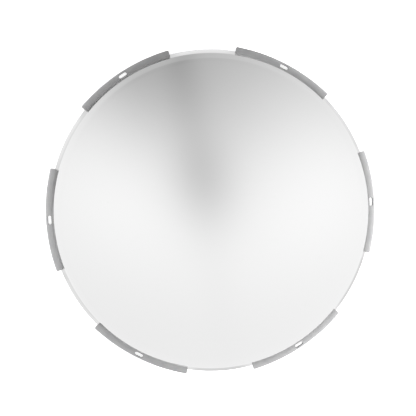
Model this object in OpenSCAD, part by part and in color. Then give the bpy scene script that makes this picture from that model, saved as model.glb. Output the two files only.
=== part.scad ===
// Convex dome mirror for watching over a room, held by six clips round its edge.
// A thin moulded dome with a narrow flat flange is gripped by six bent sheet-metal
// clips. Each clip has one slot for a screw into the wall or ceiling behind.
//
// The mirror lies on its back with the dome up. The origin is the centre of the
// plane that the clips' backs make, which is the wall. +Z points out of the wall.
// Clips are numbered counter-clockwise, and the middle of clip 1 is on +X.

/* [Mirror] */
// Diameter over the flange
mirror_d = 600; // [450:10:800]
// Width of the flat flange, from its edge to the foot of the dome
flange_w = 8.5; // [7.5:0.5:14]
// Thickness of the moulded sheet
sheet_t = 3; // [2:0.5:5]
// Radius of curvature of the reflecting cap
cap_r = 520; // [460:10:800]
// Radius of the shoulder between cap and skirt
shoulder_r = 40; // [25:1:60]
// Height of the straight skirt above the flange
skirt_h = 18; // [8:1:35]
// Draft of the skirt, inwards
skirt_draft = 1; // [0.5:0.5:4]
// Radius of the outside corner between skirt and flange
foot_r = 1; // [0.6:0.1:1.6]

/* [Clips] */
// Number of clips round the edge
clip_count = 6; // [6:1:6]
// How far a clip's middle reaches beyond the flange
clip_reach = 7.2; // [6:0.2:12]
// Length of a clip along its outer edge
clip_len = 195; // [80:1:200]
// How much flatter than the flange a clip is bent, at its outer edge
clip_ease = 28; // [0:1:60]
// Thickness of the clips' sheet metal
clip_t = 1.2; // [0.8:0.1:1.6]
// Height of a clip's outer side above the wall, to the corner of its face
clip_side_h = 6.6; // [6.2:0.1:9]
// Angle at which a clip's face slopes down outwards
clip_slope = 15; // [10:1:22]
// Outside radius of the fold between face and outer side
face_fold_r = 5.8; // [2.5:0.1:5.8]
// Outside radius of the two tight folds, at the lip and at the back
tight_fold_r = 2; // [1.8:0.1:2.2]
// Radius of the corners at a clip's ends
end_corner_r = 2.8; // [1:0.1:5]

/* [Screw slots] */
// Width of a slot, across the rim
slot_w = 6.4; // [5:0.2:7]
// Length of a slot, along the rim
slot_len = 16.5; // [10:0.5:30]
// How far a slot's centre lies outside the flange's edge
slot_offset = 0; // [0:0.1:1]
// Room between a slot and the notches behind it
notch_room = 0.6; // [0.3:0.1:1]

/* [Edge liners] */
// Thickness of the soft strip between clip and flange
liner_t = 0.8; // [0.5:0.1:1.2]
// Room between the flange's edge and the strip's fold
edge_room = 0.2; // [0.1:0.1:0.5]
// Room between the dome's foot and the strips and lips
foot_room = 0.3; // [0.2:0.1:0.6]
// How far a strip stays short of each end of its clip
liner_setback = 1.5; // [0.5:0.5:5]

/* [Hidden] */
// Heights above the wall
back_top = clip_t;
flange_bottom = back_top + liner_t;
flange_top = flange_bottom + sheet_t;
liner_top = flange_top + liner_t;

// Radii from the mirror's axis
flange_radius = mirror_d / 2;
foot_radius = flange_radius - flange_w;
clip_outer = flange_radius + clip_reach;
slot_radius = flange_radius + slot_offset;

// The skirt leans in by its draft. OUT points square out of it, and UP along it.
OUT = [cos(skirt_draft), sin(skirt_draft)];
UP = [-sin(skirt_draft), cos(skirt_draft)];
skirt_foot = [foot_radius, flange_top];
skirt_top = skirt_foot + UP * skirt_h / cos(skirt_draft);

// The shoulder's circle touches the skirt at its top and the cap from inside,
// and the cap's circle has its centre on the mirror's axis.
shoulder_c = skirt_top - OUT * shoulder_r;
cap_c = [0, shoulder_c.y - sqrt(pow(cap_r - shoulder_r, 2) - pow(shoulder_c.x, 2))];
joint_angle = atan2(shoulder_c.y - cap_c.y, shoulder_c.x);

// The foot's round corner touches skirt and flange, and the flat flange begins
// below its centre.
foot_c = [foot_radius + foot_r / tan((90 + skirt_draft) / 2), flange_top + foot_r];
liner_inner = foot_c.x + foot_room;

// A clip is bent round its own centre, which lies clip_ease behind the mirror's axis.
bend_r = clip_outer + clip_ease;
clip_angle = clip_len / bend_r * 180 / PI;
lip_x = liner_inner;
crest_h = clip_side_h + (clip_outer - lip_x) * tan(clip_slope);
face_fold = min(face_fold_r, (clip_side_h - tight_fold_r) / tan((90 - clip_slope) / 2));

// Centres of a clip's folds at the crest, between face and side, and at the back
crest_c = [
  lip_x + tight_fold_r,
  crest_h - tight_fold_r * tan((90 + clip_slope) / 2)
];
face_c = [clip_outer - face_fold, clip_side_h - face_fold * tan((90 - clip_slope) / 2)];
back_c = [clip_outer - tight_fold_r, tight_fold_r];

// The mirror's angle at a clip's ends, and at its strip's ends
end_angle = atan2(bend_r * sin(clip_angle / 2), bend_r * cos(clip_angle / 2) - clip_ease);
liner_angle = 2 * (end_angle - liner_setback / flange_radius * 180 / PI);

// How far cuts reach past a surface
past = 1;

// Steps along the cap's curve and round each fold
cap_steps = 24;
fold_steps = 6;

$fn = 96;

// Points on an arc round c, between two angles, in count steps.
function arc(c, r, from, to, count) = [
  for (i = [0:count])
    let (turned = from + (to - from) * i / count)
    c + r * [cos(turned), sin(turned)]
];

function reversed(list) = [for (i = [len(list) - 1:-1:0]) list[i]];

// The dome's surface from its apex to the flange, moved inwards by inset. The two
// sides of the sheet share their centres, so that it is equally thick all over.
function dome_line(inset) = concat(
  arc(cap_c, cap_r - inset, 90, joint_angle, cap_steps),
  arc(shoulder_c, shoulder_r - inset, joint_angle, skirt_draft, fold_steps * 2),
  arc(foot_c, foot_r + inset, 180 + skirt_draft, 270, fold_steps)
);

// Half of the mirror's cross-section, right of its axis.
module mirror_section() {
  polygon(concat(
    dome_line(0),
    [[flange_radius, flange_top], [flange_radius, flange_bottom]],
    reversed(dome_line(sheet_t))
  ));
}

// A slot's outline, lengthways along Y, wider by room all round.
module slot_outline(room) {
  straight = slot_len - slot_w;
  for (side = [-1, 1]) {
    translate([0, side * straight / 2]) circle(slot_w / 2 + room);
  }
  square([slot_w + 2 * room, straight], center = true);
}

// The room for one screw, through everything at the clip that stands at angle.
module screw_way(angle, room) {
  rotate(angle)
    translate([slot_radius, 0, -past])
      linear_extrude(crest_h + 2 * past) slot_outline(room);
}

// A clip's surface from the foot of its lip, over its face and down its side to the
// edge of its back, moved inwards by inset.
function clip_line(inset) = concat(
  [[lip_x + inset, liner_top]],
  arc(crest_c, tight_fold_r - inset, 180, 90 - clip_slope, fold_steps),
  arc(face_c, face_fold - inset, 90 - clip_slope, 0, fold_steps),
  arc(back_c, tight_fold_r - inset, 0, -90, fold_steps),
  [[lip_x, inset]]
);

// Bent strip of sheet metal seen from its end: lip, face, outer side and back.
module clip_section() {
  polygon(concat(clip_line(0), reversed(clip_line(clip_t))));
}

// Rounds the outer corner at one end of a clip. Side is 1 or -1.
module end_corner(side) {
  r = end_corner_r;
  rotate(side * clip_angle / 2)
    translate([bend_r, 0, -past])
      linear_extrude(crest_h + 2 * past)
        difference() {
          polygon([[past, side * past], [-r, side * past], [-r, -side * r], [past, -side * r]]);
          translate([-r, -side * r]) circle(r);
        }
}

// One clip, with its middle on +X.
module clip_shape() {
  difference() {
    translate([-clip_ease, 0, 0])
      difference() {
        rotate(-clip_angle / 2)
          rotate_extrude(angle = clip_angle)
            translate([clip_ease, 0]) clip_section();
        end_corner(1);
        end_corner(-1);
      }
    screw_way(0, 0);
  }
}

// One soft strip, folded round the flange's edge, with its middle on +X.
module liner_shape() {
  fold_in = flange_radius + edge_room;
  fold_out = fold_in + liner_t;
  difference() {
    rotate(-liner_angle / 2)
      rotate_extrude(angle = liner_angle)
        difference() {
          translate([liner_inner, back_top])
            square([fold_out - liner_inner, liner_top - back_top]);
          translate([liner_inner - past, flange_bottom])
            square([fold_in - liner_inner + past, sheet_t]);
        }
    screw_way(0, notch_room);
  }
}

// Turns what stands on +X to clip number n.
module at_clip(n) {
  rotate((n - 1) * 360 / clip_count) children();
}

module mirror_dome() {
  color("gainsboro")
    difference() {
      rotate_extrude() mirror_section();
      for (n = [1:clip_count]) {
        screw_way((n - 1) * 360 / clip_count, notch_room);
      }
    }
}

module clip(n) {
  color("darkgray") at_clip(n) clip_shape();
}

module edge_liner(n) {
  color("dimgray") at_clip(n) liner_shape();
}

mirror_dome();
clip(1);  // clip_1
clip(2);  // clip_2
clip(3);  // clip_3
clip(4);  // clip_4
clip(5);  // clip_5
clip(6);  // clip_6
edge_liner(1);  // edge_liner_1
edge_liner(2);  // edge_liner_2
edge_liner(3);  // edge_liner_3
edge_liner(4);  // edge_liner_4
edge_liner(5);  // edge_liner_5
edge_liner(6);  // edge_liner_6
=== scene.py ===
"""Looks for the convex dome mirror: its moulded mirror sheet, six bent clips and liners.

The mirror lies on its back, dome up, on the plane z = 0. Lengths are metres, and the
names follow the part's own values. A section is a list of (radius, height) points.
"""
import math

import bpy
import numpy as np
from mathutils import Matrix, Vector


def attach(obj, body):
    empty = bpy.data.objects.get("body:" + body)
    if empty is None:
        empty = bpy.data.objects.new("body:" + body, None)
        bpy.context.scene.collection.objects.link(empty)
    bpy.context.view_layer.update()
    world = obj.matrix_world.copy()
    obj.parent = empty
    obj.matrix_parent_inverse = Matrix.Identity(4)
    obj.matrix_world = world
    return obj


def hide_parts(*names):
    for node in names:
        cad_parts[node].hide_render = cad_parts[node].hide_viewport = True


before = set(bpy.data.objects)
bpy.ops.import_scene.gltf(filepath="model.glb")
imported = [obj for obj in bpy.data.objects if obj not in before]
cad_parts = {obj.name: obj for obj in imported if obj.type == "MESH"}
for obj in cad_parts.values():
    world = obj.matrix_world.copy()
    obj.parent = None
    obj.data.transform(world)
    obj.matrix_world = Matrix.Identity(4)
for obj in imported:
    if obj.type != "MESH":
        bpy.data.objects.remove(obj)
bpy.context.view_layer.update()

MM = 0.001

# ---------------------------------------------------------------- sizes
# These repeat the part's own values.
FLANGE_R, FLANGE_W, SHEET_T = 300 * MM, 8.5 * MM, 3 * MM
CAP_R, SHOULDER_R, SKIRT_H, FOOT_R = 520 * MM, 40 * MM, 18 * MM, 1 * MM
SKIRT_DRAFT = math.radians(1)
FLANGE_LOW, FLANGE_TOP, LINER_TOP = 2 * MM, 5 * MM, 5.8 * MM
CLIPS, CLIP_LEN, CLIP_T = 6, 195 * MM, 1.2 * MM
CLIP_EASE, CLIP_SIDE_H, CLIP_SLOPE = 28 * MM, 6.6 * MM, math.radians(15)
TIGHT_FOLD_R, END_CORNER_R = 2 * MM, 2.8 * MM
SLOT_W, SLOT_LEN, NOTCH_ROOM, FOOT_ROOM = 6.4 * MM, 16.5 * MM, 0.6 * MM, 0.3 * MM

# These are the visible pieces' own. A clip's face is slightly crowned, meets its lip in
# a crisper fold than the solid's and turns down to its side more tightly.
CROWN_R, CREST_FOLD_R, FACE_FOLD_R = 26 * MM, 1.3 * MM, 4.2 * MM
# A clip's outer radius, 0.05 mm less than the solid's, and how far the dome's skin lies
# under the solid's. Both keep the visible pieces inside the solids' box.
CLIP_OUTER, SKIN = 307.15 * MM, 0.001 * MM
CLIP_EDGE_BREAK, SHEET_EDGE_BREAK = 0.2 * MM, 0.35 * MM
# Between the clips the flange's free edge curls up a little, as a pressed edge does.
# The curl starts and is full at these angles from a clip's middle.
EDGE_CURL, CURL_POWER = 0.95 * MM, 1.5
CURL_FROM, CURL_FULL = math.radians(18.5), math.radians(23)

# What follows from them. OUT points square out of the skirt, and UP along it.
FOOT_X = FLANGE_R - FLANGE_W
SKIRT_OUT = np.array([math.cos(SKIRT_DRAFT), math.sin(SKIRT_DRAFT)])
SKIRT_UP = np.array([-math.sin(SKIRT_DRAFT), math.cos(SKIRT_DRAFT)])
SKIRT_TOP = np.array([FOOT_X, FLANGE_TOP]) + SKIRT_UP * SKIRT_H / math.cos(SKIRT_DRAFT)
SHOULDER_C = SKIRT_TOP - SKIRT_OUT * SHOULDER_R
CAP_DROP = math.sqrt((CAP_R - SHOULDER_R) ** 2 - SHOULDER_C[0] ** 2)
CAP_C = np.array([0, SHOULDER_C[1] - CAP_DROP])
JOINT = math.atan2(SHOULDER_C[1] - CAP_C[1], SHOULDER_C[0])
FOOT_C = np.array([FOOT_X + FOOT_R / math.tan((math.pi / 2 + SKIRT_DRAFT) / 2),
                   FLANGE_TOP + FOOT_R])
LIP_X = FOOT_C[0] + FOOT_ROOM
BEND_R = CLIP_OUTER + CLIP_EASE
NOTCH_R, NOTCH_STRAIGHT = SLOT_W / 2 + NOTCH_ROOM, (SLOT_LEN - SLOT_W) / 2
SPACING, HALF_SPACING = math.radians(60), math.radians(30)

# ---------------------------------------------------------------- camera of the view
# The picture is turned by ROLL, and its camera leans by TILT towards LEAN_TO in it.
ROLL, LEAN_TO, TILT = math.radians(3.2), math.radians(146), math.radians(3.05)
DISTANCE, LENS, SENSOR = 1.95, 90.53, 36.0
SLIDE_LEFT, SLIDE_UP = 6.2 * MM, 5.3 * MM
IMAGE_RIGHT = Vector((math.cos(ROLL), -math.sin(ROLL), 0))
IMAGE_UP = Vector((math.sin(ROLL), math.cos(ROLL), 0))


def arc(centre, radius, start, end, count):
    """Points (radius, height) on an arc, both ends included. Angles in radians."""
    turned = np.linspace(start, end, count + 1)
    return np.stack([centre[0] + radius * np.cos(turned),
                     centre[1] + radius * np.sin(turned)], 1)


def new_piece(name, mesh, materials, slot_name, *nodes):
    """Hands a finished mesh to the frame as one piece that stands for CAD nodes. Every
    face shows the first material, because clear() undoes the faces' own choices."""
    piece = bpy.data.objects.new(name, mesh)
    bpy.context.scene.collection.objects.link(piece)
    mesh.materials.clear()
    for material in materials:
        mesh.materials.append(material)
    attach(piece, "root")
    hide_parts(*nodes)
    return piece


# ---------------------------------------------------------------- node tree helpers
def place(tree, kind, values=None, **settings):
    """Adds a node, sets its properties, and fills or links its inputs by name or index."""
    node = tree.nodes.new(kind)
    for key, value in settings.items():
        setattr(node, key, value)
    for key, value in (values or {}).items():
        socket = node.inputs[key]
        if isinstance(value, bpy.types.NodeSocket):
            tree.links.new(value, socket)
        elif isinstance(value, bpy.types.Node):
            tree.links.new(value.outputs[0], socket)
        else:
            socket.default_value = value
    return node


def maths(tree, operation, *values):
    node = place(tree, "ShaderNodeMath", dict(enumerate(values)), operation=operation)
    return node.outputs[0]


def vector_maths(tree, operation, *values):
    node = place(tree, "ShaderNodeVectorMath", dict(enumerate(values)), operation=operation)
    return node.outputs["Value" if operation in ("DOT_PRODUCT", "LENGTH") else "Vector"]


def ramp_between(tree, value, low, high, to_low=0.0, to_high=1.0):
    """Smoothly maps value from low..high to to_low..to_high."""
    node = place(tree, "ShaderNodeMapRange",
                 {"Value": value, "From Min": low, "From Max": high,
                  "To Min": to_low, "To Max": to_high}, interpolation_type="SMOOTHSTEP")
    return node.outputs["Result"]


def effect(name, inputs, outputs):
    """An empty shader group with named sockets, given as (name, kind, default)."""
    tree = bpy.data.node_groups.new(name, "ShaderNodeTree")
    for label, kind, default in inputs:
        socket = tree.interface.new_socket(label, in_out="INPUT",
                                           socket_type="NodeSocket" + kind)
        if default is not None:
            socket.default_value = default
    for label, kind in outputs:
        tree.interface.new_socket(label, in_out="OUTPUT", socket_type="NodeSocket" + kind)
    given = tree.nodes.new("NodeGroupInput").outputs
    wanted = tree.nodes.new("NodeGroupOutput").inputs
    return tree, given, wanted


def use_effect(tree, group, **values):
    """Places a shader group and fills its inputs, each named as its socket is."""
    node = tree.nodes.new("ShaderNodeGroup")
    node.node_tree = group
    for key, value in values.items():
        socket = node.inputs[key.replace("_", " ").capitalize()]
        if isinstance(value, bpy.types.NodeSocket):
            tree.links.new(value, socket)
        else:
            socket.default_value = value
    return node.outputs


def blend_colour(tree, mask, first, second):
    node = place(tree, "ShaderNodeMix", {0: mask, 6: first, 7: second}, data_type="RGBA")
    return node.outputs[2]


def grey(level):
    return (level, level, level, 1)


# ---------------------------------------------------------------- shared effects
def make_dust():
    """Mask of sparse specks of dust, each a soft dot."""
    speck_core, speck_rim = 0.03, 0.12
    tree, given, wanted = effect("settled_dust", [
        ("Place", "Vector", None), ("Spacing", "Float", 90.0), ("Amount", "Float", 0.12)],
        [("Mask", "Float")])
    cells = place(tree, "ShaderNodeTexVoronoi",
                  {"Vector": given["Place"], "Scale": given["Spacing"]}, feature="F1")
    pick = place(tree, "ShaderNodeSeparateColor", {0: cells.outputs["Color"]})
    chosen = maths(tree, "LESS_THAN", pick.outputs[0], given["Amount"])
    dot = ramp_between(tree, cells.outputs["Distance"], speck_core, speck_rim, 1.0, 0.0)
    tree.links.new(maths(tree, "MULTIPLY", chosen, dot), wanted["Mask"])
    return tree


def make_rubbing():
    """Hairlines left by wiping: thin streaks along the first axis of the place given."""
    edge_per_amount, faintest, boldest = 0.5, 0.62, 0.8
    tree, given, wanted = effect("rubbed_hairlines", [
        ("Place", "Vector", None), ("Stretch", "Float", 40.0),
        ("Spacing", "Float", 900.0), ("Amount", "Float", 0.5)],
        [("Mask", "Float"), ("Height", "Float")])
    squeeze = place(tree, "ShaderNodeCombineXYZ",
                    {0: maths(tree, "DIVIDE", 1.0, given["Stretch"]), 1: 1.0, 2: 1.0})
    drawn = vector_maths(tree, "MULTIPLY", given["Place"], squeeze.outputs[0])
    lines = place(tree, "ShaderNodeTexNoise", {"Vector": drawn, "Scale": given["Spacing"],
                                               "Detail": 4.0, "Roughness": 0.65})
    fewer = maths(tree, "MULTIPLY", given["Amount"], edge_per_amount)
    edge = maths(tree, "SUBTRACT", 1.0, fewer)
    mask = ramp_between(tree, lines.outputs[0], maths(tree, "MULTIPLY", edge, faintest),
                        boldest)
    tree.links.new(mask, wanted["Mask"])
    tree.links.new(lines.outputs[0], wanted["Height"])
    return tree


def make_clouding():
    """Slow unevenness between two levels, with a finer one inside it."""
    low_noise, high_noise = 0.3, 0.7
    tree, given, wanted = effect("slow_clouding", [
        ("Place", "Vector", None), ("Spacing", "Float", 9.0),
        ("Low", "Float", 0.0), ("High", "Float", 1.0)], [("Level", "Float")])
    cloud = place(tree, "ShaderNodeTexNoise",
                  {"Vector": given["Place"], "Scale": given["Spacing"],
                   "Detail": 5.0, "Roughness": 0.55})
    level = ramp_between(tree, cloud.outputs[0], low_noise, high_noise,
                         given["Low"], given["High"])
    tree.links.new(level, wanted["Level"])
    return tree


# Soft tones round the mirror, seen from in front of it: (middle right, middle up,
# half width, half height, turned by degrees, strength). The plane is the view of the
# hemisphere from its pole, so that its rim is the horizon at 1.
STUDIO_BASE = 1.013
STUDIO_TONES = {
    "dark_strip_foot": (-0.015, 0.096, 0.136, 0.184, 11.8, -0.186),
    "dark_upper_side": (-0.084, 0.896, 0.713, 1.013, 40.0, -0.491),
    "dark_left_corner": (-0.275, 0.563, 0.274, 0.562, 40.0, -0.139),
    "left_window": (-0.309, 0.105, 0.371, 0.313, -40.0, 0.119),
    "right_window": (0.385, 0.112, 0.469, 0.376, 23.2, 0.193),
    "lower_side": (-0.561, -0.685, 1.600, 0.688, -13.0, -0.127),
    "dark_strip": (-0.172, 1.0, 0.087, 1.065, 9.2, -0.081),
}
# Further out than this, the tones stay as they are here.
STUDIO_RIM = 0.85
# Towards the horizon the upper side darkens a little more, from this far out.
SKYLINE_FROM, SKYLINE_FULL, SKYLINE_DROP = 0.52, 0.80, -0.03


def make_studio():
    """Brightness of the room towards a place on the view plane of the hemisphere."""
    tree, given, wanted = effect("studio_tone", [("Place", "Vector", None)],
                                 [("Tone", "Float")])
    reach = vector_maths(tree, "LENGTH", given["Place"])
    pull = maths(tree, "MINIMUM", 1.0, maths(tree, "DIVIDE", STUDIO_RIM, reach))
    held = place(tree, "ShaderNodeVectorMath", {0: given["Place"], "Scale": pull},
                 operation="SCALE").outputs[0]
    total = STUDIO_BASE
    for label, (right, up, wide, high, turned, strength) in STUDIO_TONES.items():
        local = place(tree, "ShaderNodeMapping",
                      {"Vector": held, "Location": (right, up, 0),
                       "Rotation": (0, 0, math.radians(turned)), "Scale": (wide, high, 1)},
                      vector_type="TEXTURE", label=label)
        away = vector_maths(tree, "DOT_PRODUCT", local.outputs[0], local.outputs[0])
        fade = maths(tree, "EXPONENT", maths(tree, "MULTIPLY", away, -1.0))
        total = maths(tree, "MULTIPLY_ADD", fade, strength, total)
    held_up = place(tree, "ShaderNodeSeparateXYZ", {0: held}).outputs[1]
    upward = maths(tree, "MAXIMUM", held_up, 0.0)
    drop = ramp_between(tree, reach, SKYLINE_FROM, SKYLINE_FULL,
                        0.0, SKYLINE_DROP / STUDIO_RIM)
    tree.links.new(maths(tree, "MULTIPLY_ADD", upward, drop, total), wanted["Tone"])
    return tree


DUST, RUBBING, CLOUDING = make_dust(), make_rubbing(), make_clouding()
STUDIO = make_studio()


# ---------------------------------------------------------------- finishes
def finish(name):
    """A new material's tree, with its Principled node and the object's own coordinates."""
    material = bpy.data.materials.new(name)
    material.use_nodes = True
    tree = material.node_tree
    shader = tree.nodes["Principled BSDF"]
    own = place(tree, "ShaderNodeTexCoord").outputs["Object"]
    return material, tree, shader, own


def feed(tree, value, shader, socket):
    tree.links.new(value, shader.inputs[socket])


def feed_relief(tree, height, shader, strength, depth):
    """Gives the finish a fine relief from a pattern of height."""
    bump = place(tree, "ShaderNodeBump",
                 {"Height": height, "Strength": strength, "Distance": depth})
    feed(tree, bump.outputs[0], shader, "Normal")


def make_mirror_face():
    """The bright coat: almost clean, with a little haze, wiping, dust and ripple."""
    dust_dulls, wiping_dulls, dust_tints, wiping_tints = 0.25, 0.02, 0.10, 0.05
    material, tree, shader, own = finish("silvered_face")
    dust = use_effect(tree, DUST, place=own, spacing=70.0, amount=0.05)[0]
    wiped = use_effect(tree, RUBBING, place=own, stretch=9.0, spacing=160.0, amount=0.25)[0]
    haze = use_effect(tree, CLOUDING, place=own, spacing=7.0, low=0.018, high=0.032)[0]
    ripple = use_effect(tree, CLOUDING, place=own, spacing=11.0, low=0.0, high=1.0)[0]
    hazed = maths(tree, "MULTIPLY_ADD", wiped, wiping_dulls, haze)
    feed(tree, maths(tree, "MULTIPLY_ADD", dust, dust_dulls, hazed), shader, "Roughness")
    wiping_tint = maths(tree, "MULTIPLY", wiped, wiping_tints)
    tint = maths(tree, "MULTIPLY_ADD", dust, dust_tints, wiping_tint)
    coat = blend_colour(tree, tint, grey(0.95), (0.80, 0.80, 0.79, 1))
    feed(tree, coat, shader, "Base Color")
    feed_relief(tree, ripple, shader, 0.06, 0.8 * MM)
    shader.inputs["Metallic"].default_value = 1.0
    return material


def make_sheet_edge():
    """The clear sheet's cut edge, pale and slightly green, with saw marks."""
    smoothest, saw_dulls = 0.22, 0.25
    material, tree, shader, own = finish("sawn_sheet_edge")
    saw = use_effect(tree, RUBBING, place=own, stretch=3.0, spacing=1400.0, amount=0.8)
    cloud = use_effect(tree, CLOUDING, place=own, spacing=40.0, low=0.0, high=1.0)[0]
    clear = blend_colour(tree, cloud, (0.62, 0.65, 0.64, 1), (0.54, 0.58, 0.57, 1))
    feed(tree, clear, shader, "Base Color")
    dull = maths(tree, "MULTIPLY_ADD", saw[0], saw_dulls, smoothest)
    feed(tree, dull, shader, "Roughness")
    feed_relief(tree, saw[1], shader, 0.25, 0.2 * MM)
    shader.inputs["Coat Weight"].default_value = 0.3
    return material


def make_back_paint():
    """The grey protective paint behind the coat, with its orange-peel texture."""
    dust_shows, smoothest, cloud_dulls = 0.5, 0.5, 0.12
    material, tree, shader, own = finish("protective_back_paint")
    peel = place(tree, "ShaderNodeTexNoise", {"Vector": own, "Scale": 420.0, "Detail": 3.0})
    cloud = use_effect(tree, CLOUDING, place=own, spacing=14.0, low=0.0, high=1.0)[0]
    dust = use_effect(tree, DUST, place=own, spacing=120.0, amount=0.15)[0]
    paint = blend_colour(tree, cloud, grey(0.20), (0.235, 0.24, 0.245, 1))
    dusty = blend_colour(tree, maths(tree, "MULTIPLY", dust, dust_shows), paint, grey(0.5))
    feed(tree, dusty, shader, "Base Color")
    dull = maths(tree, "MULTIPLY_ADD", cloud, cloud_dulls, smoothest)
    feed(tree, dull, shader, "Roughness")
    feed_relief(tree, peel.outputs[0], shader, 0.3, 0.4 * MM)
    return material


def make_clip_metal():
    """Satin sheet metal. The pattern reads the flat strip's own place from before its
    bend: the crest by the dome's foot is painted paler, painted light that lifts the shade
    there, and the vertical side is painted darker than the face, painted shade."""
    grain_shows, dust_shows = 0.35, 0.3
    # Where the crest's painted light and the side's painted shade start and are full, and
    # their shares
    crest_light_from, crest_light_full, crest_light_share = LIP_X + 1.5 * MM, LIP_X + 0.5 * MM, 0.8
    side_shade_from, side_shade_full, side_shade_share = 4.4 * MM, 3.0 * MM, 0.75
    smoothest, cloud_dulls, grain_dulls = 0.36, 0.05, 0.08
    material, tree, shader, own = finish("satin_clip_metal")
    strip = place(tree, "ShaderNodeAttribute", attribute_name="strip").outputs["Vector"]
    lengthways = place(tree, "ShaderNodeMapping",
                       {"Vector": strip, "Rotation": (0, 0, math.pi / 2)}).outputs[0]
    grain = use_effect(tree, RUBBING, place=lengthways, stretch=60.0, spacing=1500.0,
                       amount=0.6)
    cloud = use_effect(tree, CLOUDING, place=strip, spacing=45.0, low=0.0, high=1.0)[0]
    dust = use_effect(tree, DUST, place=own, spacing=260.0, amount=0.10)[0]
    metal = blend_colour(tree, cloud, (0.34, 0.34, 0.346, 1), (0.375, 0.375, 0.375, 1))
    scratched = blend_colour(tree, maths(tree, "MULTIPLY", grain[0], grain_shows),
                             metal, grey(0.50))
    across, _, height = place(tree, "ShaderNodeSeparateXYZ", {0: strip}).outputs
    # Painted light: the crest next to the dome's foot is painted paler, lifting the shade
    # that falls in the crevice there.
    painted_crest_light = ramp_between(tree, across, crest_light_from, crest_light_full, 0.0, crest_light_share)
    # Painted shade: the clip's vertical side is painted darker than its face.
    side = ramp_between(tree, height, side_shade_from, side_shade_full, 0.0, side_shade_share)
    scratched_and_crest_lit = blend_colour(tree, painted_crest_light, scratched, grey(0.75))
    with_painted_side_shade = blend_colour(tree, side, scratched_and_crest_lit, grey(0.19))
    dusty = blend_colour(tree, maths(tree, "MULTIPLY", dust, dust_shows), with_painted_side_shade, grey(0.75))
    feed(tree, dusty, shader, "Base Color")
    clouded = maths(tree, "MULTIPLY_ADD", cloud, cloud_dulls, smoothest)
    dull = maths(tree, "MULTIPLY_ADD", grain[0], grain_dulls, clouded)
    feed(tree, dull, shader, "Roughness")
    feed_relief(tree, grain[1], shader, 0.12, 0.2 * MM)
    shader.inputs["Metallic"].default_value = 0.35
    return material


def make_liner_strip():
    """The pale soft strip between clip and sheet."""
    dust_shows, smoothest, cloud_dulls = 0.5, 0.5, 0.15
    material, tree, shader, own = finish("pale_liner_strip")
    skin = place(tree, "ShaderNodeTexNoise",
                 {"Vector": own, "Scale": 1800.0, "Detail": 3.0})
    cloud = use_effect(tree, CLOUDING, place=own, spacing=60.0, low=0.0, high=1.0)[0]
    dust = use_effect(tree, DUST, place=own, spacing=400.0, amount=0.2)[0]
    soft = blend_colour(tree, cloud, (0.60, 0.61, 0.59, 1), (0.66, 0.67, 0.65, 1))
    dusty = blend_colour(tree, maths(tree, "MULTIPLY", dust, dust_shows), soft, grey(0.35))
    feed(tree, dusty, shader, "Base Color")
    dull = maths(tree, "MULTIPLY_ADD", cloud, cloud_dulls, smoothest)
    feed(tree, dull, shader, "Roughness")
    feed_relief(tree, skin.outputs[0], shader, 0.4, 0.2 * MM)
    return material


SHEET_FINISHES = (make_mirror_face(), make_sheet_edge(), make_back_paint())
MIRROR_FACE, SHEET_EDGE, BACK_PAINT = range(3)
CLIP_METAL, LINER_STRIP = make_clip_metal(), make_liner_strip()


# ---------------------------------------------------------------- the mirror sheet
# Steps round the cap, the shoulder, the skirt and the foot
FACE_STEPS, BACK_STEPS = (64, 26, 3, 8), (34, 14, 2, 6)
# Columns along the straight half of a notch, and between two notches
NOTCH_STEPS, FREE_STEPS = 4, 45
NOTCH_TURNS = range(12, 91, 13)
# Where the flange's rings lie, as shares of its width
FLANGE_TOP_RINGS = (0.12, 0.25, 0.4, 0.55, 0.7, 0.82, 0.92, 1.0)
FLANGE_LOW_RINGS = (0.95, 0.6, 0.3)
EDGE_SIDE_RINGS = (0.2, 0.8)
EDGE_BREAK_TURNS = [math.radians(turned) for turned in (0, 30, 60, 90)]
# The rings next to the edge stay this far from it, and this counts as touching.
RING_TUCK, TOUCH = 1.5 * SHEET_EDGE_BREAK, 1e-7


def flange_columns():
    """Angles of the sheet's columns, closer together at the notches behind the slots."""
    half = [NOTCH_STRAIGHT * k / NOTCH_STEPS for k in range(NOTCH_STEPS + 1)]
    half += [NOTCH_STRAIGHT + NOTCH_R * math.sin(math.radians(t)) for t in NOTCH_TURNS]
    fine = [math.asin(y / FLANGE_R) for y in half]
    free = list(np.linspace(fine[-1], SPACING - fine[-1], FREE_STEPS + 1))[1:-1]
    one_sixth = fine + free + [SPACING - a for a in reversed(fine[1:])]
    return np.array([SPACING * k + a for k in range(CLIPS) for a in one_sixth])


def from_clip(angle):
    """The angle from the middle of the nearest clip."""
    return (angle + HALF_SPACING) % SPACING - HALF_SPACING


def edge_radius(angle):
    """The flange's outer radius at an angle: its full one, or a notch's inner line."""
    y = abs(FLANGE_R * math.sin(from_clip(angle)))
    if y >= NOTCH_STRAIGHT + NOTCH_R - TOUCH:
        return FLANGE_R
    return FLANGE_R - math.sqrt(NOTCH_R ** 2 - max(0.0, y - NOTCH_STRAIGHT) ** 2)


def free_share(angle):
    """0 where a clip holds the flange, rising smoothly to 1 between clips."""
    t = (abs(from_clip(angle)) - CURL_FROM) / (CURL_FULL - CURL_FROM)
    t = min(1.0, max(0.0, t))
    return t * t * (3 - 2 * t)


def dome_line(inset, steps):
    """The sheet's line from its apex to the flange, moved inwards by inset."""
    cap, shoulder, skirt, foot = steps
    top = arc(CAP_C, CAP_R - inset, math.pi / 2, JOINT, cap)
    bend = arc(SHOULDER_C, SHOULDER_R - inset, JOINT, SKIRT_DRAFT, shoulder)
    corner = arc(FOOT_C, FOOT_R + inset, math.pi + SKIRT_DRAFT, 1.5 * math.pi, foot)
    wall = np.linspace(bend[-1], corner[0], skirt + 1)[1:-1]
    return np.concatenate([top, bend[1:], wall, corner])


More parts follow.
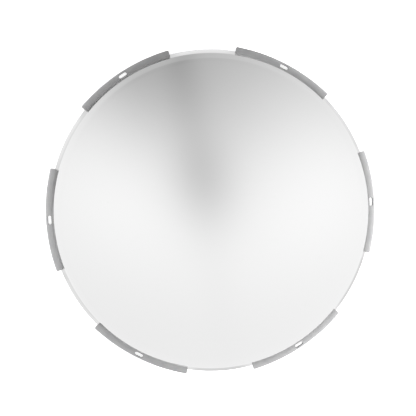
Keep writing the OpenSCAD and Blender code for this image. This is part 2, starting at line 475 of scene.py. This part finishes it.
def make_mirror_sheet():
    """One closed shell of rings from the apex over the flange's edge to the hollow."""
    angles = flange_columns()
    edge = np.array([edge_radius(a) for a in angles])
    free = np.array([free_share(a) for a in angles])
    out = FOOT_C[0]

    def round_ring(radius, height):
        return np.full_like(angles, radius), np.full_like(angles, height)

    def flange_ring(share, height, tuck=0.0):
        radius = out + (edge - tuck - out) * share
        along = np.clip((radius - out) / (FLANGE_R - out), 0, 1)
        curled = EDGE_CURL * free * along ** CURL_POWER
        return radius, height + curled

    outer = dome_line(SKIN, FACE_STEPS)
    inner = dome_line(SHEET_T, BACK_STEPS)[::-1]
    rings = [round_ring(*point) for point in outer[1:]]
    rings += [flange_ring(share, FLANGE_TOP, RING_TUCK) for share in FLANGE_TOP_RINGS]
    face_end = len(rings) - 1
    for t in EDGE_BREAK_TURNS:
        rings.append(flange_ring(1, FLANGE_TOP - SHEET_EDGE_BREAK * (1 - math.cos(t)),
                                 SHEET_EDGE_BREAK * (1 - math.sin(t))))
    side_h = SHEET_T - 2 * SHEET_EDGE_BREAK
    for share in EDGE_SIDE_RINGS:
        rings.append(flange_ring(1, FLANGE_TOP - SHEET_EDGE_BREAK - side_h * share))
    for t in EDGE_BREAK_TURNS:
        rings.append(flange_ring(1, FLANGE_LOW + SHEET_EDGE_BREAK * (1 - math.sin(t)),
                                 SHEET_EDGE_BREAK * (1 - math.cos(t))))
    edge_end = len(rings) - 1
    rings += [flange_ring(share, FLANGE_LOW, RING_TUCK) for share in FLANGE_LOW_RINGS]
    rings += [round_ring(*point) for point in inner[:-1]]

    columns, count = len(angles), len(rings)
    points = np.array([np.stack([r * np.cos(angles), r * np.sin(angles), z], 1)
                       for r, z in rings])
    poles = [(0, 0, outer[0][1]), (0, 0, inner[-1][1])]
    points = np.concatenate([points.reshape(-1, 3), poles])
    apex, hollow = count * columns, count * columns + 1
    faces, finishes = [], []
    for c in range(columns):
        d = (c + 1) % columns
        faces.append((apex, c, d))
        finishes.append(MIRROR_FACE)
        for r in range(count - 1):
            here, below = r * columns, (r + 1) * columns
            faces.append((here + c, below + c, below + d, here + d))
            finishes.append(MIRROR_FACE if r <= face_end else
                            SHEET_EDGE if r < edge_end else BACK_PAINT)
        last = (count - 1) * columns
        faces.append((hollow, last + d, last + c))
        finishes.append(BACK_PAINT)
    mesh = bpy.data.meshes.new("mirror_sheet")
    mesh.from_pydata(points.tolist(), [], faces)
    # A known fault: new_piece undoes these choices, so the sawn edge and the back paint
    # don't show, and the whole sheet has the mirror's face.
    mesh.polygons.foreach_set("material_index", finishes)
    mesh.polygons.foreach_set("use_smooth", [True] * len(faces))
    mesh.update()
    new_piece("mirror_sheet", mesh, SHEET_FINISHES, "mirror_sheet", "mirror_dome")


# ---------------------------------------------------------------- the clips
# Steps round the crest fold, the crown, the face fold and the back's fold
CREST_STEPS, CROWN_STEPS, FACE_FOLD_STEPS, BACK_FOLD_STEPS = 8, 8, 9, 10
# The straight bar is this much longer at each end than the clip, and has these stations.
BAR_SPARE, BAR_STATIONS = 4 * MM, 73
# The upright tools that trim and slot the bar: their ends and the steps round a corner
TOOL_LOW, TOOL_HIGH, TOOL_CORNER_STEPS = -20 * MM, 30 * MM, 12
# The trimming plan's width, and how far it passes the bar's outer side
PLAN_WIDE, PLAN_PAST = 60 * MM, 0.05 * MM
# A slot's end is almost a half circle, so that its two corners don't meet in one point.
SLOT_END_SHARE = 0.4999
BREAK_ANGLE, SHARP_ANGLE, BREAK_SEGMENTS = math.radians(50), math.radians(35), 2


def clip_outline():
    """The clip's closed section: lip, crest fold, crowned face, face fold, side, back."""
    crest_h = CLIP_SIDE_H + (CLIP_OUTER - LIP_X) * math.tan(CLIP_SLOPE)
    half_turn = math.tan((math.pi / 2 - CLIP_SLOPE) / 2)
    face_fold = min(FACE_FOLD_R, (CLIP_SIDE_H - TIGHT_FOLD_R) / half_turn)
    crest_drop = CREST_FOLD_R * math.tan((math.pi / 2 + CLIP_SLOPE) / 2)
    crest_c = np.array([LIP_X + CREST_FOLD_R, crest_h - crest_drop])
    face_c = np.array([CLIP_OUTER - face_fold, CLIP_SIDE_H - face_fold * half_turn])
    back_c = (CLIP_OUTER - TIGHT_FOLD_R, TIGHT_FOLD_R)

    # The crown's wide arc touches both folds from outside.
    apart = face_c - crest_c
    span = float(np.linalg.norm(apart))
    to_crest, to_face = CROWN_R - CREST_FOLD_R, CROWN_R - face_fold
    along = (span ** 2 + to_crest ** 2 - to_face ** 2) / (2 * span)
    below = math.sqrt(to_crest ** 2 - along ** 2)
    crown_c = crest_c + (along * apart + below * np.array([apart[1], -apart[0]])) / span
    crown_from = math.atan2(*(crest_c - crown_c)[::-1])
    crown_to = math.atan2(*(face_c - crown_c)[::-1])

    def line(inset):
        return np.concatenate([
            [[LIP_X + inset, LINER_TOP]],
            arc(crest_c, CREST_FOLD_R - inset, math.pi, crown_from, CREST_STEPS),
            arc(crown_c, CROWN_R - inset, crown_from, crown_to, CROWN_STEPS)[1:-1],
            arc(face_c, face_fold - inset, crown_to, 0, FACE_FOLD_STEPS),
            arc(back_c, TIGHT_FOLD_R - inset, 0, -math.pi / 2, BACK_FOLD_STEPS),
            [[LIP_X, inset]]])

    return np.concatenate([line(0), line(CLIP_T)[::-1]])


def make_clip_tree():
    """Geometry Nodes: presses one clip from its section. The bar is drawn straight,
    trimmed to its plan, slotted, then bent round its own centre and turned to its place."""
    tree = bpy.data.node_groups.new("press_clip", "GeometryNodeTree")
    inlets = tree.interface
    inlets.new_socket("Section", in_out="INPUT", socket_type="NodeSocketGeometry")
    for label, default in (("Length", CLIP_LEN), ("Bend radius", BEND_R),
                           ("Bend ease", CLIP_EASE), ("Outer side", CLIP_OUTER),
                           ("Corner radius", END_CORNER_R), ("Slot width", SLOT_W),
                           ("Slot length", SLOT_LEN), ("Slot radius", FLANGE_R),
                           ("Turn", 0.0)):
        socket = inlets.new_socket(label, in_out="INPUT", socket_type="NodeSocketFloat")
        socket.default_value = default
    inlets.new_socket("Metal", in_out="INPUT", socket_type="NodeSocketMaterial")
    inlets.new_socket("Clip", in_out="OUTPUT", socket_type="NodeSocketGeometry")
    given = tree.nodes.new("NodeGroupInput").outputs

    def at(x=0.0, y=0.0, z=0.0):
        return place(tree, "ShaderNodeCombineXYZ", {0: x, 1: y, 2: z}).outputs[0]

    def prism(wide, long, radius, middle_x):
        """An upright bar with a round-cornered oblong plan."""
        plan = place(tree, "GeometryNodeCurvePrimitiveQuadrilateral",
                     {"Width": wide, "Height": long})
        rounded = place(tree, "GeometryNodeFilletCurve",
                        {"Curve": plan, "Count": TOOL_CORNER_STEPS, "Radius": radius,
                         "Limit Radius": True}, mode="POLY")
        upright = place(tree, "GeometryNodeCurvePrimitiveLine",
                        {"Start": (0, 0, TOOL_LOW), "End": (0, 0, TOOL_HIGH)})
        body = place(tree, "GeometryNodeCurveToMesh",
                     {"Curve": upright, "Profile Curve": rounded, "Fill Caps": True})
        return place(tree, "GeometryNodeTransform",
                     {"Geometry": body, "Translation": at(middle_x)})

    # The straight bar, a little longer than the clip.
    outline = place(tree, "GeometryNodeMeshToCurve", {"Mesh": given["Section"]})
    half = maths(tree, "MULTIPLY_ADD", given["Length"], 0.5, BAR_SPARE)
    run = place(tree, "GeometryNodeCurvePrimitiveLine",
                {"Start": at(y=maths(tree, "MULTIPLY", half, -1.0)), "End": at(y=half)})
    stations = place(tree, "GeometryNodeResampleCurve",
                     {"Curve": run, "Count": BAR_STATIONS})
    bar = place(tree, "GeometryNodeCurveToMesh",
                {"Curve": stations, "Profile Curve": outline, "Fill Caps": True})

    # Trimmed to its plan, whose inner corners lie clear of the bar, and slotted.
    plan_middle = maths(tree, "ADD", given["Outer side"], PLAN_PAST - PLAN_WIDE / 2)
    plan = prism(PLAN_WIDE, given["Length"], given["Corner radius"], plan_middle)
    trimmed = place(tree, "GeometryNodeMeshBoolean", {"Mesh 2": bar},
                    operation="INTERSECT", solver="EXACT")
    tree.links.new(plan.outputs[0], trimmed.inputs["Mesh 2"])
    slot_round = maths(tree, "MULTIPLY", given["Slot width"], SLOT_END_SHARE)
    slot = prism(given["Slot width"], given["Slot length"], slot_round,
                 given["Slot radius"])
    slotted = place(tree, "GeometryNodeMeshBoolean", {"Mesh 1": trimmed, "Mesh 2": slot},
                    operation="DIFFERENCE", solver="EXACT")

    # The flat strip's own place stays on the metal for its grain.
    flat_place = place(tree, "GeometryNodeInputPosition").outputs[0]
    kept = place(tree, "GeometryNodeStoreNamedAttribute",
                 {"Geometry": slotted, "Name": "strip", "Value": flat_place},
                 data_type="FLOAT_VECTOR", domain="POINT")

    # Bent, turned to its place and given its metal.
    across, lengthways, height = place(tree, "ShaderNodeSeparateXYZ",
                                       {0: flat_place}).outputs
    turned = maths(tree, "DIVIDE", lengthways, given["Bend radius"])
    reach = maths(tree, "ADD", across, given["Bend ease"])
    outward = maths(tree, "MULTIPLY", reach, maths(tree, "COSINE", turned))
    bent = at(maths(tree, "SUBTRACT", outward, given["Bend ease"]),
              maths(tree, "MULTIPLY", reach, maths(tree, "SINE", turned)), height)
    curved = place(tree, "GeometryNodeSetPosition", {"Geometry": kept, "Position": bent})
    stood = place(tree, "GeometryNodeTransform",
                  {"Geometry": curved, "Rotation": at(z=given["Turn"])})
    real = place(tree, "GeometryNodeRealizeInstances", {"Geometry": stood})
    coated = place(tree, "GeometryNodeSetMaterial",
                   {"Geometry": real, "Material": given["Metal"]})
    tree.links.new(coated.outputs[0], tree.nodes.new("NodeGroupOutput").inputs[0])
    return tree


def make_clip(number, tree):
    """Presses clip number and breaks its edges."""
    section = clip_outline()
    count = len(section)
    mesh = bpy.data.meshes.new("clip_section")
    mesh.from_pydata([(x, -z, 0) for x, z in section],
                     [(k, (k + 1) % count) for k in range(count)], [])
    blank = bpy.data.objects.new("clip_blank", mesh)
    bpy.context.scene.collection.objects.link(blank)
    press = blank.modifiers.new("press", "NODES")
    press.node_group = tree
    sockets = {item.name: item.identifier for item in tree.interface.items_tree
               if item.item_type == "SOCKET" and item.in_out == "INPUT"}
    press[sockets["Turn"]] = SPACING * (number - 1)
    press[sockets["Metal"]] = CLIP_METAL
    broken = blank.modifiers.new("broken_edges", "BEVEL")
    broken.width, broken.segments = CLIP_EDGE_BREAK, BREAK_SEGMENTS
    broken.limit_method, broken.angle_limit = "ANGLE", BREAK_ANGLE
    pressed = bpy.data.meshes.new_from_object(
        blank.evaluated_get(bpy.context.evaluated_depsgraph_get()))
    bpy.data.objects.remove(blank)
    pressed.polygons.foreach_set("use_smooth", [True] * len(pressed.polygons))
    pressed.set_sharp_from_angle(angle=SHARP_ANGLE)
    new_piece("edge_clip_%d" % number, pressed, (CLIP_METAL,), "clip_metal",
              "clip_%d" % number)


make_mirror_sheet()
clip_tree = make_clip_tree()
for number in range(1, CLIPS + 1):
    make_clip(number, clip_tree)
    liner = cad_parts["edge_liner_%d" % number]
    liner.data.materials.clear()
    liner.data.materials.append(LINER_STRIP)

# ---------------------------------------------------------------- room, floor, lamps
PALE_FLOOR, FLOOR_GRAIN, FLOOR_GLOW = 0.8, 0.02, 0.90
# Half the floor's side, and how far it lies under the wall plane
FLOOR_SIDE, FLOOR_DROP = 6.0, 0.4 * MM
# The floor's own paleness shows in its reflection near the mirror, up to this share.
NEAR_FLOOR, FAR_FLOOR, FLOOR_SHARE, FLOOR_TONE = 0.35, 1.8, 0.12, 0.95
# What the room gives to matt surfaces, as a share of what polished ones show of it.
FILL_SHARE = 0.2
# Keeps the view plane finite straight behind the wall.
LEAST_RISE = 0.001
# Lamps: direction in the picture and height over the wall, in degrees, and strength
LAMPS = {
    "right_lamp": (-7, 4, 16.5),
    "left_lamp": (175, 4, 8.8),
    "low_lamp": (275, 35, 1.4),
}
LAMP_SOFTNESS = math.radians(25)


def seen_directly(tree):
    """1 for what the camera sees directly."""
    return place(tree, "ShaderNodeLightPath").outputs["Is Camera Ray"]


def seen_in_gloss(tree):
    """1 for what shows in metal or through glass."""
    rays = place(tree, "ShaderNodeLightPath").outputs
    return maths(tree, "MAXIMUM", rays["Is Glossy Ray"], rays["Is Transmission Ray"])


def view_plane(tree, direction, rise):
    """The direction's place on the view plane, right and up as in the picture."""
    right = vector_maths(tree, "DOT_PRODUCT", direction, tuple(IMAGE_RIGHT))
    up = vector_maths(tree, "DOT_PRODUCT", direction, tuple(IMAGE_UP))
    return place(tree, "ShaderNodeCombineXYZ",
                 {0: maths(tree, "DIVIDE", right, rise),
                  1: maths(tree, "DIVIDE", up, rise)}).outputs[0]


def make_room():
    """White to the camera, the studio's tones to metal, and a share of them to the rest."""
    world = bpy.data.worlds.new("studio")
    bpy.context.scene.world = world
    world.use_nodes = True
    tree = world.node_tree
    backdrop = tree.nodes["Background"]
    towards = place(tree, "ShaderNodeTexCoord").outputs["Generated"]
    height = place(tree, "ShaderNodeSeparateXYZ", {0: towards}).outputs[2]
    rise = maths(tree, "MAXIMUM", maths(tree, "ADD", height, 1.0), LEAST_RISE)
    tone = use_effect(tree, STUDIO, place=view_plane(tree, towards, rise))[0]
    scattered = place(tree, "ShaderNodeLightPath").outputs["Is Diffuse Ray"]
    share = maths(tree, "MULTIPLY_ADD", scattered, FILL_SHARE - 1.0, 1.0)
    given = maths(tree, "MULTIPLY", tone, share)
    level = place(tree, "ShaderNodeMix", {0: seen_directly(tree), 2: given, 3: 1.0},
                  data_type="FLOAT")
    tree.links.new(level.outputs[0], backdrop.inputs["Strength"])
    backdrop.inputs["Color"].default_value = grey(1.0)


def make_floor():
    """The pale floor, which carries the horizon's tones in reflections."""
    mesh = bpy.data.meshes.new("floor")
    corners = [(-1, -1), (1, -1), (1, 1), (-1, 1)]
    mesh.from_pydata([(x * FLOOR_SIDE, y * FLOOR_SIDE, -FLOOR_DROP) for x, y in corners],
                     [], [(0, 1, 2, 3)])
    floor = bpy.data.objects.new("floor", mesh)
    bpy.context.scene.collection.objects.link(floor)
    material, tree, shader, own = finish("pale_floor")
    grain = place(tree, "ShaderNodeTexNoise", {"Vector": own, "Scale": 60.0, "Detail": 3.0})
    pale = blend_colour(tree, grain.outputs[0], grey(PALE_FLOOR),
                        grey(PALE_FLOOR + FLOOR_GRAIN))
    feed(tree, pale, shader, "Base Color")
    shader.inputs["Roughness"].default_value = 0.9
    shader.inputs["Specular IOR Level"].default_value = 0.0
    shader.inputs["Emission Color"].default_value = grey(1.0)
    glow = maths(tree, "MULTIPLY", seen_directly(tree), FLOOR_GLOW)
    feed(tree, glow, shader, "Emission Strength")
    outward = vector_maths(tree, "NORMALIZE", own)
    tone = use_effect(tree, STUDIO, place=view_plane(tree, outward, 1.0))[0]
    near = ramp_between(tree, vector_maths(tree, "LENGTH", own), FAR_FLOOR, NEAR_FLOOR,
                        0.0, FLOOR_SHARE)
    seen = place(tree, "ShaderNodeMix", {0: near, 2: tone, 3: FLOOR_TONE},
                 data_type="FLOAT")
    shown = place(tree, "ShaderNodeEmission", {"Strength": seen.outputs[0]})
    both = place(tree, "ShaderNodeMixShader", {0: seen_in_gloss(tree), 1: shader, 2: shown})
    tree.links.new(both.outputs[0], tree.nodes["Material Output"].inputs["Surface"])
    mesh.materials.append(material)


def make_lamp(name, azimuth, elevation, strength):
    """A far, soft lamp that lights matt surfaces. It isn't mirrored itself: the room's
    tones already hold what the mirror shows."""
    data = bpy.data.lights.new(name, "SUN")
    data.energy, data.angle = strength, LAMP_SOFTNESS
    lamp = bpy.data.objects.new(name, data)
    bpy.context.scene.collection.objects.link(lamp)
    turned, raised = math.radians(azimuth), math.radians(elevation)
    side = math.cos(turned) * IMAGE_RIGHT + math.sin(turned) * IMAGE_UP
    source = math.cos(raised) * side + Vector((0, 0, math.sin(raised)))
    lamp.rotation_mode = "QUATERNION"
    lamp.rotation_quaternion = source.to_track_quat("Z", "Y")
    lamp.visible_glossy = False


def make_camera():
    """The photograph's view: nearly from the front, a little off the mirror's axis."""
    away = math.cos(LEAN_TO) * IMAGE_RIGHT + math.sin(LEAN_TO) * IMAGE_UP
    middle = Vector((0, 0, FLANGE_TOP))
    square_out = Vector((0, 0, 1))
    stand = middle + DISTANCE * (math.sin(TILT) * away + math.cos(TILT) * square_out)
    forward = (middle - stand).normalized()
    right = forward.cross(IMAGE_UP).normalized()
    up = right.cross(forward)
    data = bpy.data.cameras.new("camera")
    data.lens, data.sensor_width = LENS, SENSOR
    camera = bpy.data.objects.new("camera", data)
    bpy.context.scene.collection.objects.link(camera)
    turned = Matrix((right, up, -forward)).transposed().to_4x4()
    slid = Matrix.Translation(stand - SLIDE_LEFT * right + SLIDE_UP * up)
    camera.matrix_world = slid @ turned
    bpy.context.scene.camera = camera


make_room()
make_floor()
for name, (azimuth, elevation, strength) in LAMPS.items():
    make_lamp(name, azimuth, elevation, strength)
make_camera()
bpy.context.scene.view_settings.view_transform = "Standard"
